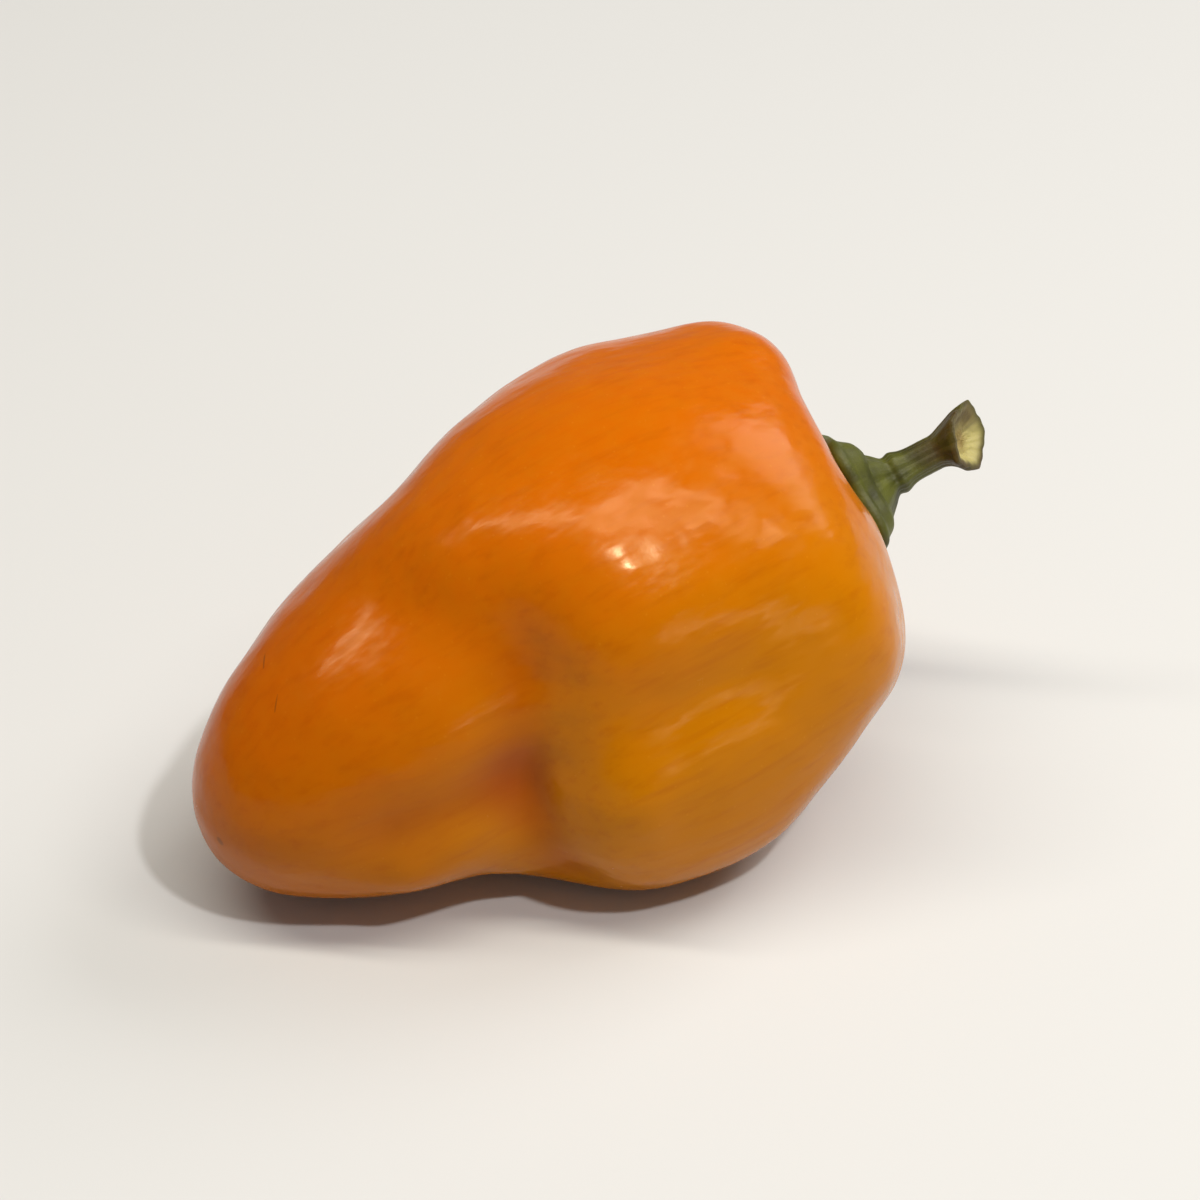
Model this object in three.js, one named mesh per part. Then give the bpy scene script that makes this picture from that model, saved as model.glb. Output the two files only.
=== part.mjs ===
// An orange habanero pepper, picked with its stalk on, lying on its side.
// Millimetres, +Z up. +X runs along the pepper towards the stalk, -Y is its front.
// The fruit is one swollen berry: rounded lobes that run into each other, with soft folds
// between them. The stalk is one grown piece: a green cap on the stem end and a short,
// ribbed, bent stem with a broken, flared end.

import * as THREE from 'three';
import { mergeVertices } from 'three/addons/utils/BufferGeometryUtils.js';

// Driving sizes of the lying pepper
const PITCH = 12.7; // degrees that the stem end is raised above the blossom end
const ROLL = 0; // degrees that the fruit has rolled about its own long axis
const HEART_HEIGHT = 13.8; // from the table up to the heart, the inner point that all lobes share
const FRUIT_DETAIL = 19; // cuts along each edge of the icosahedron that the skin starts from

// The lobes are ellipsoids round the heart. Each one's middle lies x along the fruit and
// out from its long axis, at a turn of 0 degrees for the front, 90 for the top and 180
// for the back. Its half sizes are along the fruit, deep outwards and wide across.
const LOBES = [
  { name: 'upper', x: 1.0, out: 5.2, turn: 106, along: 18.8, deep: 13.5, wide: 15.0 },
  { name: 'front', x: 0.8, out: 7.9, turn: -29, along: 17.0, deep: 11.3, wide: 9.8 },
  { name: 'back', x: 3.4, out: 7.2, turn: -156, along: 16.4, deep: 11.6, wide: 11.8 },
  { name: 'belly', x: -5.0, out: 2.0, turn: 112, along: 20.5, deep: 12.5, wide: 13.4 },
  { name: 'blossom end', x: -13.8, out: 0.7, turn: 105, along: 17.9, deep: 11.3, wide: 11.3 },
  { name: 'shoulder', x: 9.0, out: 1.6, turn: 10, along: 11.4, deep: 13.6, wide: 13.6 },
];
const LOBE_BLEND = 14; // higher leaves a tighter fold where two lobes meet

// Folds, dimples and small swellings of the skin. Each follows a line between two points,
// given like the middles of the lobes, that fades out over its width.
const FOLDS = [
  { name: 'seat of the cap', from: [20, 0, 0], to: [20.1, 0, 0], width: 5.4, height: -1.9 },
  { name: 'dip above the seat', from: [19.6, 8, 95], to: [19.6, 8, 60], width: 3.2, height: -1.1 },
  { name: 'top knob', from: [8, 16, 132], to: [14, 16, 127], width: 5.0, height: 1.0 },
  { name: 'top corner', from: [17, 13.4, 124], to: [17.6, 13, 113], width: 4.4, height: 2.1 },
  { name: 'waist at the back', from: [-5, 17, 136], to: [-9, 17, 130], width: 5.0, height: -1.2 },
  { name: 'flat by the blossom end', from: [-25, 10, 142], to: [-28, 8, 146], width: 4.0, height: -0.8 },
  { name: 'flat under the front', from: [9.5, 17, -36], to: [12, 16, -33], width: 4.4, height: -1.3 },
  { name: 'crest', from: [-12, 14, 96], to: [-4, 15, 64], width: 4.4, height: 0.5 },
  { name: 'full front', from: [-2, 14, 34], to: [11, 15, 26], width: 5.5, height: 1.4 },
  { name: 'front ridge', from: [-4, 13, 5], to: [12, 14.5, 2], width: 4.6, height: 1.5 },
  { name: 'groove under the crest', from: [-16, 14, 78], to: [-10, 15, 54], width: 3.6, height: -0.7 },
  { name: 'dimple', from: [-10.4, 14, 38], to: [-11.6, 12.2, 18], width: 4.4, height: -1.7 },
  { name: 'valley', from: [-15.5, 12, 6], to: [-22, 10, 8], width: 3.4, height: -1.7 },
  { name: 'waist below', from: [-12.4, 12, -14], to: [-12, 15, -30], width: 3.8, height: -1.8 },
  { name: 'low swelling', from: [-19.5, 12, -12], to: [-21.5, 11, -15], width: 3.4, height: 1.3 },
  { name: 'knuckle', from: [-6.2, 14, 12], to: [-6.8, 14, 2], width: 3.4, height: 0.6 },
  { name: 'full blossom end', from: [-29.5, 5, -60], to: [-31, 3, -90], width: 3.0, height: 0.5 },
];

// Driving sizes of the stalk
const GAP = 0.3; // between the cap and the fruit under it
const CAP_RADIUS = 5.3;
const CAP_CORNERS = 5;
const CAP_CORNER_HEIGHT = 0.09; // share of the radius that a corner stands out
const CAP_EDGE = 0.9; // thickness of the cap at its rim
const CAP_DOME = 2.4; // how much thicker the cap would be in its middle, without the neck
const CAP_TOP = 20; // how far from the heart the cap's points are aimed
const STEM_START = [19.2, 0, 0];
const STEM_HANDLES = [[22.6, 0, 0], [26.9, -0.4, 0.9]];
const STEM_END = [29.8, -1.9, 1.9];
const STEM_RADIUS = 1.22;
const STEM_RIBS = 5;
const STEM_RIB_HEIGHT = 0.06; // share of the radius
const NECK = { at: 1.6, width: 2.3, height: 2.7 };
const NECK_GROOVE = { at: 4.7, width: 0.4, height: -0.2 };
const NECK_RING = { at: 5.4, width: 0.5, height: 0.14 };
const NECK_FOOT = 2.9; // where along the stem the neck leaves the cap
const FLARE = { length: 2.8, height: 1.15 };
const BREAK_DEPTH = 0.45; // how far the broken end is hollowed
const BREAK_SLANT = 0.35; // rise of the broken end for each unit across it
const BREAK_TURN = 40; // degrees round the stem to the side that the break leaves longer
const STALK_SIDES = 30;

const UP = new THREE.Vector3(0, 0, 1);
const ALONG = new THREE.Vector3(1, 0, 0);
const rest = new THREE.Euler(
  THREE.MathUtils.degToRad(ROLL),
  -THREE.MathUtils.degToRad(PITCH),
  0,
  'YXZ',
);

// A point x along the fruit and out from its axis, at a turn in degrees.
function beside(x, out, turn) {
  const angle = THREE.MathUtils.degToRad(turn);
  return new THREE.Vector3(x, -out * Math.cos(angle), out * Math.sin(angle));
}

// The lobes with their own directions worked out once.
const lobes = LOBES.map((lobe) => {
  const outward = beside(0, 1, lobe.turn);
  const across = beside(0, 1, lobe.turn + 90);
  const middle = new THREE.Vector3(lobe.x / lobe.along, lobe.out / lobe.deep, 0);
  return { ...lobe, outward, across, middle };
});

// How far one lobe reaches from the heart in a direction.
function reach(lobe, direction) {
  const ray = new THREE.Vector3(
    direction.x / lobe.along,
    direction.dot(lobe.outward) / lobe.deep,
    direction.dot(lobe.across) / lobe.wide,
  );
  const lengthSq = ray.lengthSq();
  const ahead = ray.dot(lobe.middle);
  const room = 1 - lobe.middle.lengthSq();
  return (ahead + Math.sqrt(ahead * ahead + lengthSq * room)) / lengthSq;
}

// All lobes together: the farthest one wins, blended softly where two are alike.
function lobedReach(direction) {
  const sum = lobes.reduce((total, lobe) => total + reach(lobe, direction) ** LOBE_BLEND, 0);
  return sum ** (1 / LOBE_BLEND);
}

function ontoLobes(point) {
  const direction = point.clone().normalize();
  return direction.multiplyScalar(lobedReach(direction));
}

const folds = FOLDS.map((fold) => {
  const start = ontoLobes(beside(...fold.from));
  const end = ontoLobes(beside(...fold.to));
  return { ...fold, line: new THREE.Line3(start, end) };
});

// The skin of the fruit in a direction from the heart, with an optional lift off it.
function skin(direction, lift = 0) {
  const point = direction.clone().multiplyScalar(lobedReach(direction));
  const nearest = new THREE.Vector3();
  let change = lift;
  for (const fold of folds) {
    fold.line.closestPointToPoint(point, true, nearest);
    const share = point.distanceTo(nearest) / fold.width;
    change += fold.height * Math.exp(-share * share);
  }
  return point.addScaledVector(direction, change);
}

// The fruit lies on small flat spots, where the skin is pressed level with the table.
function restOnTable(point) {
  const up = UP.clone().applyQuaternion(new THREE.Quaternion().setFromEuler(rest).invert());
  const below = -point.dot(up) - HEART_HEIGHT;
  return below > 0 ? point.addScaledVector(up, below) : point;
}

function makeFruit() {
  const ball = new THREE.IcosahedronGeometry(1, FRUIT_DETAIL);
  ball.deleteAttribute('normal');
  ball.deleteAttribute('uv');
  const geometry = mergeVertices(ball, 1e-5);
  const position = geometry.getAttribute('position');
  for (let i = 0; i < position.count; i += 1) {
    const direction = new THREE.Vector3().fromBufferAttribute(position, i).normalize();
    const point = restOnTable(skin(direction));
    position.setXYZ(i, point.x, point.y, point.z);
  }
  geometry.computeVertexNormals();
  const material = new THREE.MeshStandardMaterial({
    color: new THREE.Color().setRGB(0.80, 0.42, 0.02, THREE.SRGBColorSpace),
    roughness: 0.32,
    metalness: 0,
  });
  const mesh = new THREE.Mesh(geometry, material);
  mesh.name = 'fruit';
  return mesh;
}

// A bell-shaped swelling of a radius round one place on the stem.
function bell(place, s) {
  const share = (s - place.at) / place.width;
  return place.height * Math.exp(-share * share);
}

// The rim of the cap stands out a little at each corner.
function capRim(angle) {
  return CAP_RADIUS * (1 + CAP_CORNER_HEIGHT * Math.cos(CAP_CORNERS * angle));
}

// The two directions across the stem, for a stem that runs along a tangent. The first lies
// in the plane that the stem bends in.
function acrossStem(tangent) {
  const squareToBend = new THREE.Vector3(0, 0.72, 0.69);
  const side = squareToBend.cross(tangent).normalize();
  const over = new THREE.Vector3().crossVectors(tangent, side);
  return { side, over };
}

// A point of the cap, at a share of the way from its middle to its rim, lifted off the fruit.
function capPoint(share, angle, lift) {
  const { side, over } = acrossStem(ALONG);
  const radius = share * capRim(angle);
  const aim = ALONG.clone()
    .multiplyScalar(CAP_TOP)
    .addScaledVector(side, radius * Math.cos(angle))
    .addScaledVector(over, radius * Math.sin(angle));
  return skin(aim.normalize(), lift);
}

const stemCurve = new THREE.CubicBezierCurve3(
  new THREE.Vector3(...STEM_START),
  new THREE.Vector3(...STEM_HANDLES[0]),
  new THREE.Vector3(...STEM_HANDLES[1]),
  new THREE.Vector3(...STEM_END),
);
const stemLength = stemCurve.getLength();

// How far the stem has opened into its broken end, from 0 to 1 at s along it.
function opening(s) {
  return THREE.MathUtils.smoothstep(s, stemLength - FLARE.length, stemLength);
}

// The radius of the stem at s along it, before its ribs.
function stemRadius(s) {
  const bells = bell(NECK, s) + bell(NECK_GROOVE, s) + bell(NECK_RING, s);
  return STEM_RADIUS + bells + FLARE.height * opening(s);
}

// A point round the stem at s along it, at a share of its radius and moved back by a depth.
function stemPoint(s, angle, share = 1, depth = 0) {
  const centre = stemCurve.getPointAt(s / stemLength);
  const tangent = stemCurve.getTangentAt(s / stemLength);
  const { side, over } = acrossStem(tangent);
  const ribs = 1 + STEM_RIB_HEIGHT * Math.cos(STEM_RIBS * angle);
  const radius = share * stemRadius(s) * ribs;
  const longer = Math.cos(angle - THREE.MathUtils.degToRad(BREAK_TURN));
  const slant = BREAK_SLANT * opening(s) * radius * longer;
  return centre
    .addScaledVector(tangent, slant - depth)
    .addScaledVector(side, radius * Math.cos(angle))
    .addScaledVector(over, radius * Math.sin(angle));
}

// The stalk as rings of points: under the cap, round its rim, over it, up the stem, and
// across the broken end.
function stalkRings() {
  const rings = [];
  for (const share of [0.25, 0.5, 0.75, 0.93]) {
    rings.push((angle) => capPoint(share, angle, GAP));
  }
  for (const [share, part] of [[0.99, 0.15], [1.02, 0.55], [0.98, 0.9], [0.92, 1.03]]) {
    rings.push((angle) => capPoint(share, angle, GAP + part * CAP_EDGE));
  }
  for (const share of [0.84, 0.75, 0.66]) {
    const dome = (1 - share * share) * CAP_DOME;
    rings.push((angle) => capPoint(share, angle, GAP + CAP_EDGE + dome));
  }
  const steps = 36;
  for (let i = 0; i <= steps; i += 1) {
    const s = NECK_FOOT + (i / steps) * (stemLength - NECK_FOOT);
    rings.push((angle) => stemPoint(s, angle));
  }
  for (const share of [0.86, 0.6, 0.3]) {
    const depth = BREAK_DEPTH * (1 - share * share);
    rings.push((angle) => stemPoint(stemLength, angle, share, depth));
  }
  return rings;
}

function makeStalk() {
  const rings = stalkRings();
  const points = [capPoint(0, 0, GAP)];
  for (const ring of rings) {
    for (let j = 0; j < STALK_SIDES; j += 1) {
      points.push(ring((2 * Math.PI * j) / STALK_SIDES));
    }
  }
  points.push(stemPoint(stemLength, 0, 0, BREAK_DEPTH));

  const faces = [];
  const at = (ring, side) => 1 + ring * STALK_SIDES + (side % STALK_SIDES);
  for (let j = 0; j < STALK_SIDES; j += 1) {
    faces.push(0, at(0, j + 1), at(0, j));
    for (let i = 0; i + 1 < rings.length; i += 1) {
      faces.push(at(i, j), at(i, j + 1), at(i + 1, j + 1));
      faces.push(at(i, j), at(i + 1, j + 1), at(i + 1, j));
    }
    faces.push(at(rings.length - 1, j), at(rings.length - 1, j + 1), points.length - 1);
  }

  const geometry = new THREE.BufferGeometry().setFromPoints(points);
  geometry.setIndex(faces);
  geometry.computeVertexNormals();
  const material = new THREE.MeshStandardMaterial({
    color: new THREE.Color().setRGB(0.30, 0.31, 0.05, THREE.SRGBColorSpace),
    roughness: 0.6,
    metalness: 0,
  });
  const mesh = new THREE.Mesh(geometry, material);
  mesh.name = 'stalk';
  return mesh;
}

// The pepper as it lies, with the middle of its length and width over the origin.
const pepper = new THREE.Group();
pepper.add(makeFruit(), makeStalk());
pepper.rotation.copy(rest);
pepper.position.z = HEART_HEIGHT;
pepper.updateMatrixWorld(true);
const extent = new THREE.Box3().setFromObject(pepper, true);
const centre = extent.getCenter(new THREE.Vector3());
pepper.position.x = -centre.x;
pepper.position.y = -centre.y;

const part = new THREE.Group();
part.add(pepper);

export default part;
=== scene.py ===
"""An orange habanero pepper, picked with its stalk on and lying on its side.

The row frame is in metres: +X runs along the pepper towards its stalk, -Y is its front and
+Z is up. Shapes are worked out in millimetres from the heart, the inner point that all the
fruit's lobes share, and are turned and moved to where the pepper lies at the end.
"""

import math

import bpy
from mathutils import Matrix, Vector


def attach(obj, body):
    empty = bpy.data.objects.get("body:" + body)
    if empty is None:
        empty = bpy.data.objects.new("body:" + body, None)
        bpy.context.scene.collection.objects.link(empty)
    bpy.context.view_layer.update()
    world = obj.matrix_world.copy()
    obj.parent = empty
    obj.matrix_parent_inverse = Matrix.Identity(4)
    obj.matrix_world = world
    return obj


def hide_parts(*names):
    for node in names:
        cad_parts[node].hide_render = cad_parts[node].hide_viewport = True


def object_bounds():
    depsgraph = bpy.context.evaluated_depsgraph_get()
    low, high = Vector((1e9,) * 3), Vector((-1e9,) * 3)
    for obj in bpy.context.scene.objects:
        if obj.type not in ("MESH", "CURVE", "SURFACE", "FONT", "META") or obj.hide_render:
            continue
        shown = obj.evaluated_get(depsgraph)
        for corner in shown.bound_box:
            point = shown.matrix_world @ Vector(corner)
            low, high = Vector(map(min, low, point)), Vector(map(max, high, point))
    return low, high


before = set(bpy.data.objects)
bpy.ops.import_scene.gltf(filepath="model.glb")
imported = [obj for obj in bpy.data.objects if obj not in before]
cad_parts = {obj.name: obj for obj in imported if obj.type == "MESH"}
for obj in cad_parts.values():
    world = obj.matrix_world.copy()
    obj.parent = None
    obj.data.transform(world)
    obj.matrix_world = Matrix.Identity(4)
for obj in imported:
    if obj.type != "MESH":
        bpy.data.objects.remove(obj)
cad_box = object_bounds()


# The camera
# It looks down on the pepper's front from beside its blossom end, as the photograph does,
# through a long lens, so that the near lobes aren't swollen.
CAMERA_TURN = math.radians(-28)
CAMERA_RISE = math.radians(37)
CAMERA_DISTANCE = 0.30
CAMERA_LENS = 128

middle = (Vector(cad_box[0]) + Vector(cad_box[1])) / 2
towards_camera = Vector((
    math.sin(CAMERA_TURN) * math.cos(CAMERA_RISE),
    -math.cos(CAMERA_TURN) * math.cos(CAMERA_RISE),
    math.sin(CAMERA_RISE),
))
camera = bpy.data.objects.new("camera", bpy.data.cameras.new("camera"))
camera.data.lens = CAMERA_LENS
camera.data.clip_start = 0.01
camera.location = middle + towards_camera * CAMERA_DISTANCE
camera.rotation_euler = towards_camera.to_track_quat("Z", "Y").to_euler()
bpy.context.scene.collection.objects.link(camera)
bpy.context.scene.camera = camera


# The fruit
# One hollow berry with a smooth, waxy, golden orange skin. It grew as rounded lobes that
# run into each other, with soft folds between them, a seat for the cap at the stem end and
# a small scar at the blossom end. It lies on small flat spots of its skin.
MM = 0.001
HEART = (0.2917 * MM, -0.0512 * MM, 13.8 * MM)
PITCH = math.radians(12.7)  # how far the stem end is raised above the blossom end
LOBE_BLEND = 14  # higher leaves a tighter fold where two lobes meet
LOBES = {
    # name: (x along, out from the axis, turn in degrees, half length, half depth, half width)
    "upper": (1.0, 5.2, 106, 18.8, 13.5, 15.0),
    "front": (0.8, 7.9, -29, 17.0, 11.3, 9.8),
    "back": (3.4, 7.2, -156, 16.4, 11.6, 11.8),
    "belly": (-5.0, 2.0, 112, 20.5, 12.5, 13.4),
    "blossom end": (-13.8, 0.7, 105, 17.9, 11.3, 11.3),
    "shoulder": (9.0, 1.6, 10, 11.4, 13.6, 13.6),
}
FOLDS = {
    # name: (from, to, width, height), with each end as x along, out and turn
    "seat of the cap": ((20, 0, 0), (20.1, 0, 0), 5.4, -1.9),
    "dip above the seat": ((19.6, 8, 95), (19.6, 8, 60), 3.2, -1.1),
    "top knob": ((8, 16, 132), (14, 16, 127), 5.0, 1.0),
    "top corner": ((17, 13.4, 124), (17.6, 13, 113), 4.4, 2.1),
    "waist at the back": ((-5, 17, 136), (-9, 17, 130), 5.0, -1.2),
    "flat by the blossom end": ((-25, 10, 142), (-28, 8, 146), 4.0, -0.8),
    "flat under the front": ((9.5, 17, -36), (12, 16, -33), 4.4, -1.3),
    "crest": ((-12, 14, 96), (-4, 15, 64), 4.4, 0.5),
    "full front": ((-2, 14, 34), (11, 15, 26), 5.5, 1.4),
    "front ridge": ((-4, 13, 5), (12, 14.5, 2), 4.6, 1.5),
    "groove under the crest": ((-16, 14, 78), (-10, 15, 54), 3.6, -0.7),
    "dimple": ((-10.4, 14, 38), (-11.6, 12.2, 18), 4.4, -1.7),
    "valley": ((-15.5, 12, 6), (-22, 10, 8), 3.4, -1.7),
    "waist below": ((-12.4, 12, -14), (-12, 15, -30), 3.8, -1.8),
    "low swelling": ((-19.5, 12, -12), (-21.5, 11, -15), 3.4, 1.3),
    "knuckle": ((-6.2, 14, 12), (-6.8, 14, 2), 3.4, 0.6),
    "full blossom end": ((-29.5, 5, -60), (-31, 3, -90), 3.0, 0.5),
}
FRUIT_DETAIL = 7  # how often the faces of the ball are split that the skin starts from
RIPPLE_HEIGHT = 0.16  # of the low waves that are all over the skin
RIPPLE_LENGTH = 7.0


class Wiring:
    """Adds nodes to one tree and wires sockets or plain values into them."""

    def __init__(self, tree):
        self.tree = tree

    def node(self, kind, inputs=None, **settings):
        made = self.tree.nodes.new(kind)
        for name, setting in settings.items():
            setattr(made, name, setting)
        for key, value in (inputs or {}).items():
            if isinstance(value, bpy.types.NodeSocket):
                self.tree.links.new(value, made.inputs[key])
            else:
                made.inputs[key].default_value = value
        return made

    def group(self, tree, **inputs):
        """Another node group, placed in this one. Spaces in its inputs' names are written _."""
        named = {name.replace("_", " "): value for name, value in inputs.items()}
        made = self.tree.nodes.new(self.tree.bl_idname.replace("Tree", "Group"))
        made.node_tree = tree
        for name, value in named.items():
            if isinstance(value, bpy.types.NodeSocket):
                self.tree.links.new(value, made.inputs[name])
            else:
                made.inputs[name].default_value = value
        return made.outputs

    def math(self, operation, a, b=0.0):
        return self.node("ShaderNodeMath", {0: a, 1: b}, operation=operation).outputs[0]

    def total(self, values):
        values = list(values)
        result = values[0]
        for value in values[1:]:
            result = self.math("ADD", result, value)
        return result

    def vector(self, operation, a, b=(0.0, 0.0, 0.0)):
        made = self.node("ShaderNodeVectorMath", {0: a, 1: b}, operation=operation)
        return made.outputs["Vector"]

    def dot(self, a, b):
        made = self.node("ShaderNodeVectorMath", {0: a, 1: b}, operation="DOT_PRODUCT")
        return made.outputs["Value"]

    def scale(self, vector, factor):
        inputs = {0: vector, "Scale": factor}
        return self.node("ShaderNodeVectorMath", inputs, operation="SCALE").outputs["Vector"]

    def xyz(self, x, y, z):
        return self.node("ShaderNodeCombineXYZ", {0: x, 1: y, 2: z}).outputs[0]

    def parts(self, vector):
        return self.node("ShaderNodeSeparateXYZ", {0: vector}).outputs

    def step(self, value, start, end, low=0.0, high=1.0):
        """Goes smoothly from low to high while value goes from start to end."""
        inputs = {"Value": value, 1: start, 2: end, 3: low, 4: high}
        made = self.node("ShaderNodeMapRange", inputs, interpolation_type="SMOOTHSTEP")
        return made.outputs[0]

    def slope(self, value, start, end, low, high):
        """Goes evenly from low to high while value goes from start to end."""
        inputs = {"Value": value, 1: start, 2: end, 3: low, 4: high}
        return self.node("ShaderNodeMapRange", inputs).outputs[0]

    def bell(self, value, centre, width, height):
        """A bump of that height where value is near centre."""
        share = self.math("DIVIDE", self.math("SUBTRACT", value, centre), width)
        fall = self.math("MULTIPLY", self.math("MULTIPLY", share, share), -1.0)
        return self.math("MULTIPLY", self.math("EXPONENT", fall), height)

    def noise(self, position, length, detail=2.0, roughness=0.5):
        """Soft random values from 0 to 1, with patches about that long."""
        inputs = {
            "Vector": position,
            "Scale": 1.0 / length,
            "Detail": detail,
            "Roughness": roughness,
        }
        return self.node("ShaderNodeTexNoise", inputs, noise_dimensions="3D").outputs[0]

    def store(self, mesh, data_type, **values):
        """The mesh with these values kept on its points, each under its name."""
        for name, value in values.items():
            mesh = self.node(
                "GeometryNodeStoreNamedAttribute",
                {"Geometry": mesh, "Name": name, "Value": value},
                data_type=data_type,
                domain="POINT",
            ).outputs[0]
        return mesh

    def stored(self, name, output="Fac"):
        """In a material, the value that the mesh keeps under this name."""
        return self.node("ShaderNodeAttribute", attribute_name=name).outputs[output]


def new_group(name, inputs, outputs):
    """An empty node group with named sockets: its wiring, what it is given, what it gives."""
    tree = bpy.data.node_groups.new(name, "GeometryNodeTree")
    for label, socket_kind in inputs.items():
        tree.interface.new_socket(label, in_out="INPUT", socket_type="NodeSocket" + socket_kind)
    for label, socket_kind in outputs.items():
        tree.interface.new_socket(label, in_out="OUTPUT", socket_type="NodeSocket" + socket_kind)
    wiring = Wiring(tree)
    given = tree.nodes.new("NodeGroupInput").outputs
    gives = tree.nodes.new("NodeGroupOutput").inputs
    return wiring, given, gives


def give(wiring, socket, value):
    wiring.tree.links.new(value, socket)


def beside(x, out, turn):
    """A point x along the fruit and out from its axis: turn 0 is its front, 90 its top."""
    angle = math.radians(turn)
    return Vector((x, -out * math.cos(angle), out * math.sin(angle)))


def make_lobe_reach():
    """How far one ellipsoid round the heart reaches in a direction."""
    sizes = ("X", "Out", "Turn", "Half length", "Half depth", "Half width")
    inputs = {"Direction": "Vector"} | {size: "Float" for size in sizes}
    w, given, gives = new_group("lobe reach", inputs, {"Reach": "Float"})
    cosine = w.math("COSINE", given["Turn"])
    sine = w.math("SINE", given["Turn"])
    outward = w.xyz(0.0, w.math("MULTIPLY", cosine, -1.0), sine)
    across = w.xyz(0.0, sine, cosine)
    ray = w.xyz(
        w.math("DIVIDE", w.parts(given["Direction"])["X"], given["Half length"]),
        w.math("DIVIDE", w.dot(given["Direction"], outward), given["Half depth"]),
        w.math("DIVIDE", w.dot(given["Direction"], across), given["Half width"]),
    )
    centre = w.xyz(
        w.math("DIVIDE", given["X"], given["Half length"]),
        w.math("DIVIDE", given["Out"], given["Half depth"]),
        0.0,
    )
    length = w.dot(ray, ray)
    ahead = w.dot(ray, centre)
    room = w.math("SUBTRACT", 1.0, w.dot(centre, centre))
    square = w.math("ADD", w.math("MULTIPLY", ahead, ahead), w.math("MULTIPLY", length, room))
    reach = w.math("DIVIDE", w.math("ADD", ahead, w.math("SQRT", square)), length)
    give(w, gives["Reach"], reach)
    return w.tree


def make_lobed_reach(lobe_reach):
    """All lobes together: the farthest one wins, blended softly where two are alike."""
    w, given, gives = new_group("lobed reach", {"Direction": "Vector"}, {"Reach": "Float"})
    powers = []
    for x, out, turn, half_length, half_depth, half_width in LOBES.values():
        reach = w.group(
            lobe_reach,
            Direction=given["Direction"],
            X=x,
            Out=out,
            Turn=math.radians(turn),
            Half_length=half_length,
            Half_depth=half_depth,
            Half_width=half_width,
        )["Reach"]
        powers.append(w.math("POWER", reach, LOBE_BLEND))
    give(w, gives["Reach"], w.math("POWER", w.total(powers), 1.0 / LOBE_BLEND))
    return w.tree


def make_fold():
    """How much a fold between two points raises or lowers the skin at a point near it."""
    inputs = {
        "Point": "Vector",
        "From": "Vector",
        "To": "Vector",
        "Width": "Float",
        "Height": "Float",
    }
    w, given, gives = new_group("fold", inputs, {"Change": "Float"})
    line = w.vector("SUBTRACT", given["To"], given["From"])
    offset = w.vector("SUBTRACT", given["Point"], given["From"])
    long = w.math("MAXIMUM", w.dot(line, line), 1e-6)
    share = w.math("DIVIDE", w.dot(offset, line), long)
    share = w.math("MAXIMUM", w.math("MINIMUM", share, 1.0), 0.0)
    away = w.vector("SUBTRACT", offset, w.scale(line, share))
    widths = w.math("DIVIDE", w.dot(away, away), w.math("MULTIPLY", given["Width"], given["Width"]))
    fall = w.math("EXPONENT", w.math("MULTIPLY", widths, -1.0))
    give(w, gives["Change"], w.math("MULTIPLY", fall, given["Height"]))
    return w.tree


def make_skin_point(lobed_reach, fold):
    """The skin's point in a direction from the heart, and how deep it lies in the folds."""
    inputs = {"Direction": "Vector", "Lift": "Float"}
    outputs = {"Point": "Vector", "Fold depth": "Float"}
    w, given, gives = new_group("skin point", inputs, outputs)
    reach = w.group(lobed_reach, Direction=given["Direction"])["Reach"]
    point = w.scale(given["Direction"], reach)

    def onto_lobes(place):
        direction = beside(*place).normalized()
        return w.scale(direction, w.group(lobed_reach, Direction=direction)["Reach"])

    changes = []
    for start, end, width, height in FOLDS.values():
        changes.append(w.group(
            fold,
            Point=point,
            From=onto_lobes(start),
            To=onto_lobes(end),
            Width=width,
            Height=height,
        )["Change"])
    change = w.total(changes)
    moved = w.scale(given["Direction"], w.math("ADD", change, given["Lift"]))
    give(w, gives["Point"], w.vector("ADD", point, moved))
    give(w, gives["Fold depth"], w.math("MAXIMUM", w.math("MULTIPLY", change, -1.0), 0.0))
    return w.tree


def make_lying():
    """A point in millimetres from the heart, moved to where the pepper lies, in metres."""
    inputs = {"Point": "Vector", "Pitch": "Float", "Heart": "Vector"}
    w, given, gives = new_group("lying", inputs, {"Point": "Vector"})
    turned = w.node(
        "ShaderNodeVectorRotate",
        {"Vector": given["Point"], "Angle": w.math("MULTIPLY", given["Pitch"], -1.0)},
        rotation_type="Y_AXIS",
    ).outputs[0]
    give(w, gives["Point"], w.vector("ADD", w.scale(turned, MM), given["Heart"]))
    return w.tree


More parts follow.
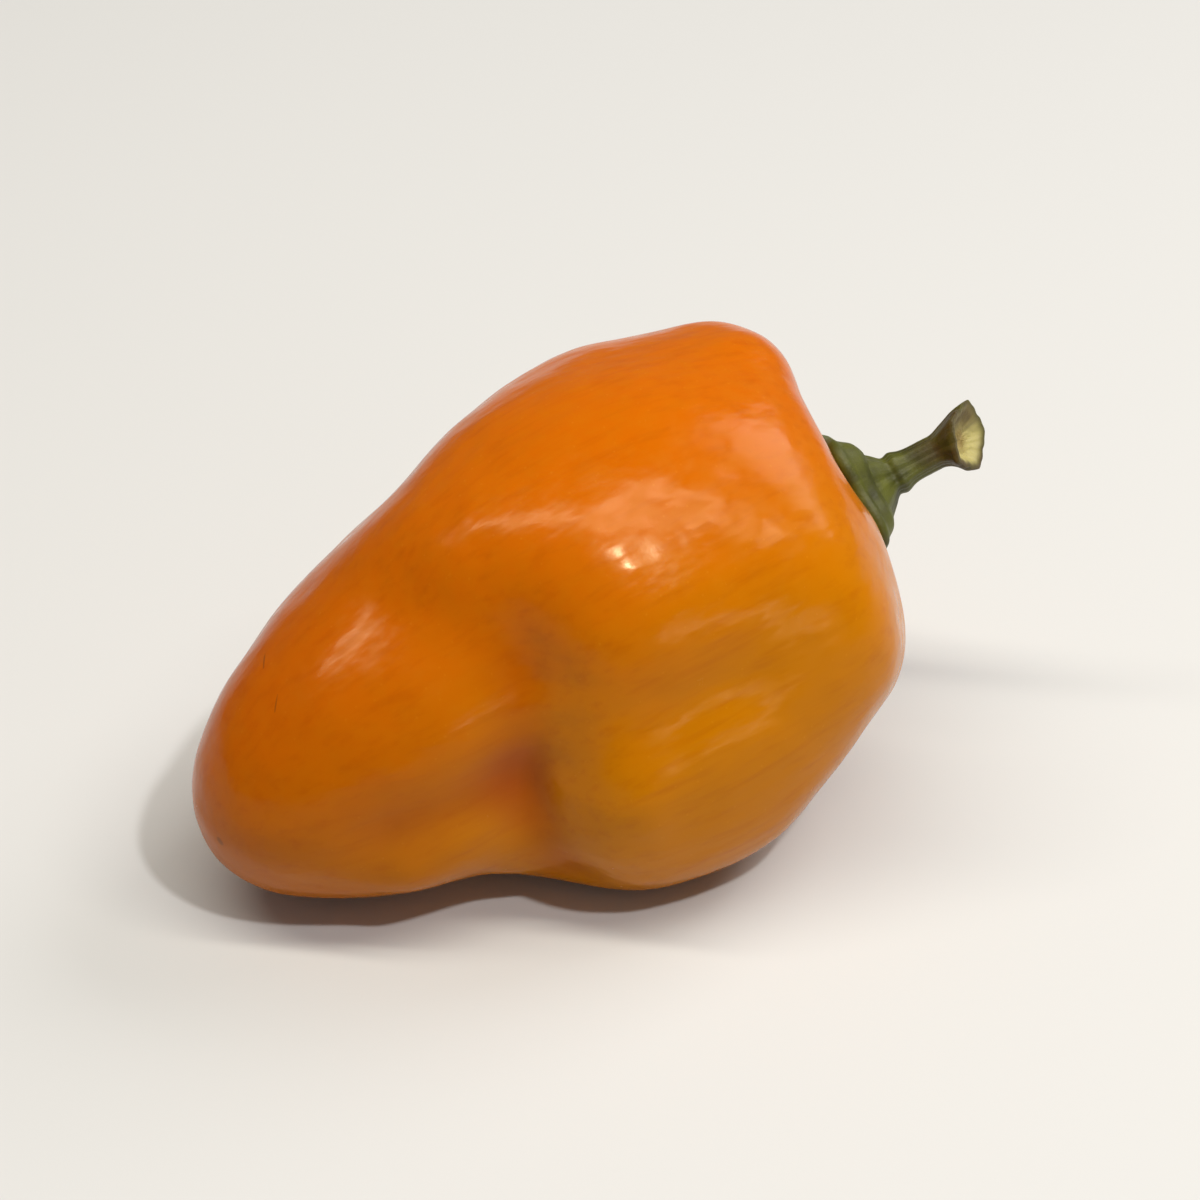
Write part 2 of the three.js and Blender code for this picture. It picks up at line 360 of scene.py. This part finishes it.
def make_fruit_tree(skin_point, lying):
    """The whole fruit, from a ball whose points are moved out to the skin."""
    inputs = {
        "Detail": "Int",
        "Ripple height": "Float",
        "Ripple length": "Float",
        "Pitch": "Float",
        "Heart": "Vector",
        "Skin": "Material",
    }
    w, given, gives = new_group("fruit", inputs, {"Mesh": "Geometry"})
    ball = w.node("GeometryNodeMeshIcoSphere", {"Radius": 1.0, "Subdivisions": given["Detail"]})
    place = w.node("GeometryNodeInputPosition").outputs[0]
    direction = w.vector("NORMALIZE", place)
    plain = w.group(skin_point, Direction=direction, Lift=0.0)
    waves = w.node(
        "ShaderNodeTexNoise",
        {
            "Vector": plain["Point"],
            "Scale": w.math("DIVIDE", 1.0, given["Ripple length"]),
            "Detail": 2.0,
        },
    ).outputs[0]
    ripple = w.math("MULTIPLY", w.math("SUBTRACT", waves, 0.5), given["Ripple height"])
    rippled = w.vector("ADD", plain["Point"], w.scale(direction, w.math("MULTIPLY", ripple, 2.0)))
    lying_point = w.group(lying, Point=rippled, Pitch=given["Pitch"], Heart=given["Heart"])["Point"]
    x, y, z = w.parts(lying_point)
    pressed = w.xyz(x, y, w.math("MAXIMUM", z, 0.0))

    marked = w.store(ball.outputs["Mesh"], "FLOAT", fold_depth=plain["Fold depth"])
    marked = w.store(marked, "FLOAT_VECTOR", grown=plain["Point"])
    shaped = w.node("GeometryNodeSetPosition", {"Geometry": marked, "Position": pressed}).outputs[0]
    smooth = w.node("GeometryNodeSetShadeSmooth", {"Geometry": shaped}).outputs[0]
    real = w.node("GeometryNodeRealizeInstances", {"Geometry": smooth}).outputs[0]
    skinned = w.node("GeometryNodeSetMaterial", {"Geometry": real, "Material": given["Skin"]})
    give(w, gives["Mesh"], skinned.outputs[0])
    return w.tree


def grow(name, tree, **sizes):
    """A plain mesh object made by a node tree with these named sizes."""
    seed = bpy.data.objects.new(name, bpy.data.meshes.new(name + "_seed"))
    bpy.context.scene.collection.objects.link(seed)
    modifier = seed.modifiers.new("shape", "NODES")
    modifier.node_group = tree
    named = {size.replace("_", " "): value for size, value in sizes.items()}
    for item in tree.interface.items_tree:
        if item.in_out == "INPUT" and item.name in named:
            modifier[item.identifier] = named[item.name]
    depsgraph = bpy.context.evaluated_depsgraph_get()
    mesh = bpy.data.meshes.new_from_object(seed.evaluated_get(depsgraph), depsgraph=depsgraph)
    seed.modifiers.remove(modifier)
    mesh.name = name
    seed.data = mesh
    return seed


def srgb(red, green, blue):
    """A colour as the shader wants it, from screen values of 0 to 255."""
    def linear(value):
        share = value / 255
        return share / 12.92 if share <= 0.04045 else ((share + 0.055) / 1.055) ** 2.4
    return (linear(red), linear(green), linear(blue), 1.0)


def new_material(name):
    """A material without nodes, and the wiring to add them with."""
    material = bpy.data.materials.new(name)
    material.use_nodes = True
    material.node_tree.nodes.clear()
    return material, Wiring(material.node_tree)


def mix(w, factor, a, b):
    """Two colours mixed: a where factor is 0, b where it is 1."""
    return w.node("ShaderNodeMix", {0: factor, 6: a, 7: b}, data_type="RGBA").outputs[2]


def mark(w, place, start, end, half_width):
    """1 on a thin line between two points, and 0 beside it."""
    line = Vector(end) - Vector(start)
    offset = w.vector("SUBTRACT", place, start)
    share = w.math("DIVIDE", w.dot(offset, tuple(line)), line.length_squared)
    share = w.math("MAXIMUM", w.math("MINIMUM", share, 1.0), 0.0)
    away = w.vector("SUBTRACT", offset, w.scale(tuple(line), share))
    distance = w.math("SQRT", w.dot(away, away))
    return w.step(distance, half_width * 0.5, half_width * 1.6, 1.0, 0.0)


RIPE = srgb(194, 96, 0)
# deep orange: the tone of the streaks, and the painted shade in the folds and at the blossom end
DEEP_TONE_AND_SHADE = srgb(150, 54, 0)
GOLD = srgb(188, 115, 0)
SPECK = srgb(214, 140, 36)
CORK = srgb(92, 54, 18)
MARKS = {
    # name: (from, to, half width), in millimetres from the heart
    "scar of the style": ((-31.42, -2.23, 1.13), (-31.40, -2.10, 1.30), 0.22),
    "long scratch": ((-23.2, 2.6, 10.5), (-23.8, 1.4, 10.3), 0.07),
    "short scratch": ((-24.1, -1.4, 10.1), (-24.9, -2.2, 9.6), 0.05),
}
FOLD_SHADE_DEPTHS = (0.7, 2.8)  # depths at which the painted shade in the folds starts and stops getting darker
SWELL_LENGTH = 5.0
WAVE_LENGTH = 1.9
WAVE_HEIGHT = 0.42  # a share of the swells' height, as the next one is
PORE_LENGTH = 0.25
PORE_HEIGHT = 0.012


def make_skin():
    """Waxy orange skin: golden low on the front, with painted shade darker in the folds and towards
    the blossom end.
    """
    skin, w = new_material("fruit_skin")
    grown = w.stored("grown", "Vector")
    x, y, z = w.parts(grown)

    patches = w.noise(grown, 16.0, detail=3.0)
    towards_gold = w.math("SUBTRACT", w.math("MULTIPLY", y, -0.05), w.math("MULTIPLY", z, 0.05))
    gold_share = w.step(w.math("ADD", towards_gold, patches), -0.1, 1.3, 0.0, 0.9)
    streak_place = w.vector("MULTIPLY", grown, (0.10, 1.0, 1.0))
    streaks = w.noise(streak_place, 0.8, detail=3.0, roughness=0.6)
    mottle = w.noise(grown, 1.3, detail=4.0, roughness=0.6)
    cells = w.node("ShaderNodeTexVoronoi", {"Vector": grown, "Scale": 1.1, "Randomness": 1.0})
    specks = w.step(cells.outputs["Distance"], 0.03, 0.14, 1.0, 0.0)
    marks = w.total(mark(w, grown, *sizes) for sizes in MARKS.values())

    colour = mix(w, gold_share, RIPE, GOLD)
    colour = mix(w, w.step(streaks, 0.45, 0.80, 0.0, 0.22), colour, DEEP_TONE_AND_SHADE)
    colour = mix(w, w.step(mottle, 0.3, 0.8, 0.0, 0.18), colour, GOLD)
    colour = mix(w, w.math("MULTIPLY", specks, 0.16), colour, SPECK)
    # painted shade: the deeper a point lies in a fold, the darker the skin
    colour = mix(w, w.step(w.stored("fold_depth"), *FOLD_SHADE_DEPTHS, 0.0, 0.72), colour, DEEP_TONE_AND_SHADE)
    # painted shade: the skin darkens towards the blossom end
    colour = mix(w, w.step(x, -6.0, -26.0, 0.0, 0.24), colour, DEEP_TONE_AND_SHADE)
    colour = mix(w, w.math("MULTIPLY", marks, 0.5), colour, CORK)

    swells = w.noise(grown, SWELL_LENGTH, detail=1.0)
    waves = w.noise(w.vector("MULTIPLY", grown, (0.45, 1.0, 1.0)), WAVE_LENGTH)
    pores = w.noise(grown, PORE_LENGTH, detail=3.0, roughness=0.6)
    height = w.total([
        swells,
        w.math("MULTIPLY", waves, WAVE_HEIGHT),
        w.math("MULTIPLY", pores, PORE_HEIGHT),
    ])
    bump = w.node("ShaderNodeBump", {"Strength": 0.4, "Distance": 0.6 * MM, "Height": height})
    shader = w.node("ShaderNodeBsdfPrincipled", {
        "Base Color": colour,
        "Roughness": w.step(mottle, 0.2, 0.8, 0.15, 0.28),
        "IOR": 1.35,
        "Specular IOR Level": 0.34,
        "Specular Tint": (1.0, 0.84, 0.52, 1.0),
        "Subsurface Weight": 0.06,
        "Subsurface Radius": (1.0, 0.40, 0.05),
        "Subsurface Scale": 1.2 * MM,
        "Normal": bump.outputs[0],
    })
    w.node("ShaderNodeOutputMaterial", {"Surface": shader.outputs[0]})
    return skin


lobed_reach = make_lobed_reach(make_lobe_reach())
skin_point = make_skin_point(lobed_reach, make_fold())
lying = make_lying()
fruit = grow(
    "fruit_berry",
    make_fruit_tree(skin_point, lying),
    Detail=FRUIT_DETAIL,
    Ripple_height=RIPPLE_HEIGHT,
    Ripple_length=RIPPLE_LENGTH,
    Pitch=PITCH,
    Heart=HEART,
    Skin=make_skin(),
)
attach(fruit, "root")
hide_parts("fruit")


# The stalk
# One grown piece of green, fibrous plant tissue: a thick cap with five blunt corners, grown
# onto the stem end of the fruit, and a short, ribbed, bent stem. The stem has a tight ring where
# its neck leaves the cap, and it opens into a hollow, pale end where it was broken off.
CAP_GAP = 0.12  # between the cap and the fruit under it
CAP_RADIUS = 5.3
CAP_CORNERS = 5
CAP_CORNER_HEIGHT = 0.09  # share of the radius that a corner stands out
CAP_EDGE = 0.9  # thickness of the cap at its rim
CAP_DOME = 2.4  # how much thicker the cap would be in its middle, without the neck
CAP_TOP = 20.0  # how far from the heart the cap's points are aimed
CAP_TUCK = 0.96  # share of the radius that the underside reaches
CAP_BULGE = 0.06  # share of the radius that the edge stands out beyond the underside
CAP_TOP_WIDTH = 0.32  # share of the radius from the edge in to the neck
CAP_UNEVEN = 0.12  # share of the radius that the rim wanders
CAP_VEIN = 0.12  # height of the veins that run to the corners
STEM_START = (19.2, 0.0, 0.0)
STEM_HANDLES = ((22.6, 0.0, 0.0), (26.9, -0.4, 0.9))
STEM_END = (29.8, -1.9, 1.9)
STEM_LENGTH = 11.05
STEM_RADIUS = 1.22
STEM_RIBS = 5
STEM_RIB_HEIGHT = 0.06  # share of the radius, as the next two are
FINE_RIB_HEIGHT = 0.02
STEM_UNEVEN = 0.10
NECK = (1.6, 2.3, 2.7)  # where along the stem, width and height, as for the next two
NECK_GROOVE = (4.7, 0.4, -0.2)
NECK_RING = (5.4, 0.5, 0.14)
NECK_FOOT = 2.9  # where along the stem the neck leaves the cap
FLARE_LENGTH = 2.8
FLARE_HEIGHT = 1.15
BREAK_DEPTH = 0.75  # how far the broken end is hollowed
BREAK_SLANT = 0.35  # rise of the broken end for each unit across it
BREAK_TURN = math.radians(40)  # round the stem to the side that the break leaves longer
BREAK_GRAIN = 0.35  # height of the torn fibres in the hollow
BROWNER_SIDE_TURN = math.radians(105)  # round the stem to the side of the break that is browner
SQUARE_TO_BEND = (0.0, 0.72, 0.69)
STALK_SIDES = 160
STALK_RINGS = 340
UNDER_THE_CAP = 0.10  # share of the rings from the cap's middle to its rim
OVER_THE_CAP = 0.36  # and to the neck
UP_THE_STEM = 0.90  # and to the edge of the break


def across_stem(w, tangent):
    """The two directions across a stem that runs along a tangent."""
    side = w.vector("NORMALIZE", w.vector("CROSS_PRODUCT", SQUARE_TO_BEND, tangent))
    return side, w.vector("CROSS_PRODUCT", tangent, side)


def round_stem(w, angle, side, over, radius):
    """A point out from the stem's middle at an angle round it."""
    along_side = w.scale(side, w.math("MULTIPLY", radius, w.math("COSINE", angle)))
    along_over = w.scale(over, w.math("MULTIPLY", radius, w.math("SINE", angle)))
    return w.vector("ADD", along_side, along_over)


def make_cap_point(skin_point):
    """A point of the cap at a share of the way out to its rim, lifted off the fruit."""
    inputs = {"Share": "Float", "Angle": "Float", "Lift": "Float"}
    w, given, gives = new_group("cap point", inputs, {"Point": "Vector"})
    side, over = across_stem(w, (1.0, 0.0, 0.0))
    corners = w.math("COSINE", w.math("MULTIPLY", given["Angle"], CAP_CORNERS))
    ring = w.xyz(w.math("COSINE", given["Angle"]), w.math("SINE", given["Angle"]), 0.0)
    uneven = w.math("MULTIPLY", w.math("SUBTRACT", w.noise(ring, 0.7), 0.5), CAP_UNEVEN)
    rim = w.total([1.0, w.math("MULTIPLY", corners, CAP_CORNER_HEIGHT), uneven])
    radius = w.math("MULTIPLY", w.math("MULTIPLY", rim, CAP_RADIUS), given["Share"])
    out = round_stem(w, given["Angle"], side, over, radius)
    aim = w.vector("NORMALIZE", w.vector("ADD", out, (CAP_TOP, 0.0, 0.0)))
    give(w, gives["Point"], w.group(skin_point, Direction=aim, Lift=given["Lift"])["Point"])
    return w.tree


def make_stem_point():
    """A point round the stem at s along it, at a share of its radius, moved back by a depth."""
    inputs = {"S": "Float", "Angle": "Float", "Share": "Float", "Depth": "Float"}
    w, given, gives = new_group("stem point", inputs, {"Point": "Vector"})
    curve = w.node("GeometryNodeCurvePrimitiveBezierSegment", {
        "Resolution": 256,
        "Start": STEM_START,
        "Start Handle": STEM_HANDLES[0],
        "End Handle": STEM_HANDLES[1],
        "End": STEM_END,
    }).outputs[0]
    sample = w.node(
        "GeometryNodeSampleCurve",
        {"Curves": curve, "Length": given["S"]},
        mode="LENGTH",
        use_all_curves=True,
    )
    centre = sample.outputs["Position"]
    tangent = sample.outputs["Tangent"]
    side, over = across_stem(w, tangent)
    opening = w.step(given["S"], STEM_LENGTH - FLARE_LENGTH, STEM_LENGTH)
    bells = [w.bell(given["S"], *shape) for shape in (NECK, NECK_GROOVE, NECK_RING)]
    plain = w.total([STEM_RADIUS, *bells, w.math("MULTIPLY", opening, FLARE_HEIGHT)])
    ribs = w.math("COSINE", w.math("MULTIPLY", given["Angle"], STEM_RIBS))
    fine_ribs = w.math("COSINE", w.math("MULTIPLY", given["Angle"], 3 * STEM_RIBS))
    ring = w.xyz(w.math("COSINE", given["Angle"]), w.math("SINE", given["Angle"]), given["S"])
    uneven = w.noise(ring, 1.6)
    ribbed = w.total([
        1.0,
        w.math("MULTIPLY", ribs, STEM_RIB_HEIGHT),
        w.math("MULTIPLY", fine_ribs, FINE_RIB_HEIGHT),
        w.math("MULTIPLY", w.math("SUBTRACT", uneven, 0.5), STEM_UNEVEN),
    ])
    radius = w.math("MULTIPLY", w.math("MULTIPLY", plain, ribbed), given["Share"])
    longer = w.math("COSINE", w.math("SUBTRACT", given["Angle"], BREAK_TURN))
    slanted = w.math("MULTIPLY", longer, BREAK_SLANT)
    slant = w.math("MULTIPLY", w.math("MULTIPLY", opening, radius), slanted)
    moved = w.scale(tangent, w.math("SUBTRACT", slant, given["Depth"]))
    out = round_stem(w, given["Angle"], side, over, radius)
    give(w, gives["Point"], w.vector("ADD", w.vector("ADD", centre, moved), out))
    return w.tree


def make_stalk_tree(cap_point, stem_point, lying):
    """The stalk as one tube of rings: under the cap, over it, up the stem, into the break."""
    inputs = {
        "Sides": "Int",
        "Rings": "Int",
        "Under the cap": "Float",
        "Over the cap": "Float",
        "Up the stem": "Float",
        "Gap": "Float",
        "Break depth": "Float",
        "Pitch": "Float",
        "Heart": "Vector",
        "Green": "Material",
    }
    w, given, gives = new_group("stalk", inputs, {"Mesh": "Geometry"})
    sheet = w.node("GeometryNodeMeshGrid", {
        "Size X": 1.0,
        "Size Y": 1.0,
        "Vertices X": w.math("ADD", given["Sides"], 1.0),
        "Vertices Y": given["Rings"],
    })
    uv = w.parts(sheet.outputs["UV Map"])
    angle = w.math("MULTIPLY", uv[0], 2 * math.pi)
    way = uv[1]

    under = given["Under the cap"]
    over = given["Over the cap"]
    up = given["Up the stem"]
    # under the cap, from its middle to its rim
    below_share = w.slope(way, 0.0, under, 0.0, CAP_TUCK)
    below = w.group(cap_point, Share=below_share, Angle=angle, Lift=given["Gap"])["Point"]
    # round the rim, and over the cap up to the neck
    turn = w.slope(way, under, over, 0.0, 1.0)
    rim_turn = w.slope(turn, 0.0, 0.4, -math.pi / 2, math.pi / 2)
    rim_out = w.math("MULTIPLY", w.math("COSINE", rim_turn), CAP_BULGE)
    inward = w.slope(turn, 0.4, 1.0, 0.0, CAP_TOP_WIDTH)
    top_share = w.math("SUBTRACT", w.math("ADD", CAP_TUCK, rim_out), inward)
    rim_lift = w.math("MULTIPLY", w.math("ADD", w.math("SINE", rim_turn), 1.0), CAP_EDGE / 2)
    dome = w.math("SUBTRACT", 1.0, w.math("MULTIPLY", top_share, top_share))
    dome = w.math("MULTIPLY", w.math("MULTIPLY", dome, CAP_DOME), w.step(turn, 0.25, 0.75))
    veins = w.math("COSINE", w.math("MULTIPLY", angle, CAP_CORNERS))
    veins = w.math("MULTIPLY", w.math("MAXIMUM", veins, 0.0), CAP_VEIN)
    veins = w.math("MULTIPLY", veins, w.step(turn, 0.3, 0.6))
    top_lift = w.total([given["Gap"], rim_lift, dome, veins])
    above = w.group(cap_point, Share=top_share, Angle=angle, Lift=top_lift)["Point"]
    # up the stem
    s = w.slope(way, over, up, NECK_FOOT, STEM_LENGTH)
    stem = w.group(stem_point, S=s, Angle=angle, Share=1.0, Depth=0.0)["Point"]
    # over the broken face, from its rim to its middle
    inside = w.slope(way, up, 1.0, 1.0, 0.0)
    hollow = w.step(inside, 0.92, 0.35)
    cosine = w.math("COSINE", angle)
    sine = w.math("SINE", angle)
    grain = w.noise(w.xyz(cosine, sine, w.math("MULTIPLY", inside, 2.0)), 0.25, 3.0)
    # the grain fades out in the middle, where the ring closes to a point
    grain_height = w.math("MULTIPLY", hollow, w.step(inside, 0.0, 0.15, 0.0, BREAK_GRAIN))
    grain = w.math("MULTIPLY", w.math("SUBTRACT", grain, 0.5), grain_height)
    depth = w.math("ADD", w.math("MULTIPLY", hollow, given["Break depth"]), grain)
    face = w.group(stem_point, S=STEM_LENGTH, Angle=angle, Share=inside, Depth=depth)["Point"]

    def choose(condition, otherwise, then):
        return w.node(
            "GeometryNodeSwitch",
            {"Switch": condition, "False": otherwise, "True": then},
            input_type="VECTOR",
        ).outputs[0]

    def after(threshold):
        return w.node(
            "FunctionNodeCompare",
            {0: way, 1: threshold},
            data_type="FLOAT",
            operation="GREATER_THAN",
        ).outputs[0]

    point = choose(after(w.math("ADD", under, 1e-4)), below, above)
    point = choose(after(w.math("ADD", over, 1e-4)), point, stem)
    point = choose(after(w.math("ADD", up, 1e-4)), point, face)
    placed = w.group(lying, Point=point, Pitch=given["Pitch"], Heart=given["Heart"])["Point"]

    five_ribs = w.math("COSINE", w.math("MULTIPLY", angle, STEM_RIBS))
    turned = w.xyz(cosine, sine, five_ribs)
    mesh = w.store(sheet.outputs["Mesh"], "FLOAT", way=way, along_stem=s, inside=inside)
    mesh = w.store(mesh, "FLOAT_VECTOR", turned=turned, grown=point)
    shaped = w.node("GeometryNodeSetPosition", {"Geometry": mesh, "Position": placed}).outputs[0]
    closed = w.node("GeometryNodeMergeByDistance", {"Geometry": shaped, "Distance": 1e-6}).outputs[0]
    smooth = w.node("GeometryNodeSetShadeSmooth", {"Geometry": closed}).outputs[0]
    real = w.node("GeometryNodeRealizeInstances", {"Geometry": smooth}).outputs[0]
    green = w.node("GeometryNodeSetMaterial", {"Geometry": real, "Material": given["Green"]})
    give(w, gives["Mesh"], green.outputs[0])
    return w.tree


LEAF = srgb(86, 90, 16)
DARK_GREEN = srgb(48, 50, 8)
BROWN = srgb(74, 54, 22)
PALE = srgb(176, 166, 104)
PITH = srgb(140, 116, 62)


def make_green():
    """Fibrous green skin that browns along the stem, with a pale break browner on one side."""
    green, w = new_material("stalk_green")
    grown = w.stored("grown", "Vector")
    way = w.stored("way")
    inside = w.stored("inside")
    turned = w.stored("turned", "Vector")
    cosine, sine, ribs = w.parts(turned)

    fibre_place = w.xyz(
        w.math("MULTIPLY", cosine, 6.0),
        w.math("MULTIPLY", sine, 6.0),
        w.math("MULTIPLY", way, 5.0),
    )
    fibres = w.noise(fibre_place, 1.0, detail=4.0, roughness=0.65)
    blotches = w.noise(grown, 2.2, detail=3.0)
    brown_length = w.step(w.stored("along_stem"), 5.5, STEM_LENGTH - 1.0)
    browning = w.math("MULTIPLY", brown_length, w.step(blotches, 0.35, 0.65, 0.45, 0.85))
    on_face = w.step(way, UP_THE_STEM + 0.005, UP_THE_STEM + 0.03)
    pale_share = w.math("MULTIPLY", on_face, w.step(inside, 0.9, 0.6, 0.6, 1.0))
    pith_share = w.math("MULTIPLY", on_face, w.step(inside, 0.55, 0.1, 0.0, 0.8))
    # one side of the break's face is made browner
    browner_side = w.dot(turned, (math.cos(BROWNER_SIDE_TURN), math.sin(BROWNER_SIDE_TURN), 0.0))
    browner_side = w.step(w.math("ADD", browner_side, w.math("SUBTRACT", fibres, 0.5)), -0.2, 0.7)
    browner_share = w.math("MULTIPLY", browner_side, w.step(inside, 0.1, 0.7, 0.3, 0.85))

    colour = mix(w, w.step(blotches, 0.3, 0.75), LEAF, DARK_GREEN)
    colour = mix(w, w.step(fibres, 0.5, 0.8, 0.0, 0.5), colour, DARK_GREEN)
    colour = mix(w, w.step(ribs, 0.3, 1.0, 0.0, 0.35), colour, LEAF)
    colour = mix(w, browning, colour, BROWN)
    colour = mix(w, pale_share, colour, PALE)
    colour = mix(w, pith_share, colour, PITH)
    colour = mix(w, w.math("MULTIPLY", on_face, browner_share), colour, BROWN)

    fine = w.noise(grown, 0.25, detail=3.0, roughness=0.6)
    height = w.math("ADD", w.math("MULTIPLY", fibres, 0.5), w.math("MULTIPLY", fine, 0.25))
    bump = w.node("ShaderNodeBump", {"Strength": 0.5, "Distance": 0.3 * MM, "Height": height})
    shader = w.node("ShaderNodeBsdfPrincipled", {
        "Base Color": colour,
        "Roughness": w.step(fibres, 0.2, 0.8, 0.42, 0.62),
        "IOR": 1.45,
        "Subsurface Weight": 0.06,
        "Subsurface Radius": (0.6, 0.8, 0.2),
        "Subsurface Scale": 1.0 * MM,
        "Normal": bump.outputs[0],
    })
    w.node("ShaderNodeOutputMaterial", {"Surface": shader.outputs[0]})
    return green


stalk = grow(
    "stalk_cap_and_stem",
    make_stalk_tree(make_cap_point(skin_point), make_stem_point(), lying),
    Sides=STALK_SIDES,
    Rings=STALK_RINGS,
    Under_the_cap=UNDER_THE_CAP,
    Over_the_cap=OVER_THE_CAP,
    Up_the_stem=UP_THE_STEM,
    Gap=CAP_GAP,
    Break_depth=BREAK_DEPTH,
    Pitch=PITCH,
    Heart=HEART,
    Green=make_green(),
)
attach(stalk, "root")
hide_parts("stalk")


# The studio
# A plain pale floor, a broad soft light from the pepper's stalk end, a long one above it, a
# small one for the spots of shine on its crest, and a weak one low in front of it.
FLOOR_REACH = 1.5
PALE_PAPER = srgb(208, 210, 214)
WARM_AIR = (1.0, 0.96, 0.91, 1.0)
AIR_STRENGTH = 0.14

floor_mesh = bpy.data.meshes.new("floor")
corners = [(x * FLOOR_REACH, y * FLOOR_REACH, 0) for x, y in ((-1, -1), (1, -1), (1, 1), (-1, 1))]
floor_mesh.from_pydata(corners, [], [(0, 1, 2, 3)])
floor = bpy.data.objects.new("floor", floor_mesh)
bpy.context.scene.collection.objects.link(floor)
paper = bpy.data.materials.new("floor_paper")
paper.use_nodes = True
paper_shader = paper.node_tree.nodes["Principled BSDF"]
paper_shader.inputs["Base Color"].default_value = PALE_PAPER
paper_shader.inputs["Roughness"].default_value = 0.9
floor_mesh.materials.append(paper)

world = bpy.data.worlds.new("studio")
world.use_nodes = True
world.node_tree.nodes["Background"].inputs["Color"].default_value = WARM_AIR
world.node_tree.nodes["Background"].inputs["Strength"].default_value = AIR_STRENGTH
bpy.context.scene.world = world


def add_light(name, turn, rise, distance, long, wide, power, colour):
    """A soft oblong light that faces the pepper, its long side level. Turn 0 is the front."""
    across = Vector((math.cos(math.radians(turn)), math.sin(math.radians(turn)), 0))
    back = Vector((across.y, -across.x, 0)) * math.cos(math.radians(rise))
    back.z = math.sin(math.radians(rise))
    lamp = bpy.data.lights.new(name, "AREA")
    lamp.shape = "RECTANGLE"
    lamp.size = long
    lamp.size_y = wide
    lamp.energy = power
    lamp.color = colour
    light = bpy.data.objects.new(name, lamp)
    light.matrix_world = (
        Matrix.Translation(middle + back * distance)
        @ Matrix((across, back.cross(across), back)).transposed().to_4x4()
    )
    bpy.context.scene.collection.objects.link(light)


add_light("long overhead", -37, 86, 0.50, 0.90, 0.05, 2.6, (1.0, 0.93, 0.78))
add_light("small spot", 12, 59, 0.55, 0.03, 0.03, 1.1, (1.0, 0.97, 0.92))
add_light("low front", 14, 9, 0.70, 0.34, 0.05, 0.40, (1.0, 0.93, 0.80))
add_light("broad right", 95, 40, 0.60, 0.30, 0.30, 1.5, (1.0, 0.97, 0.92))
bpy.context.scene.view_settings.view_transform = "Standard"
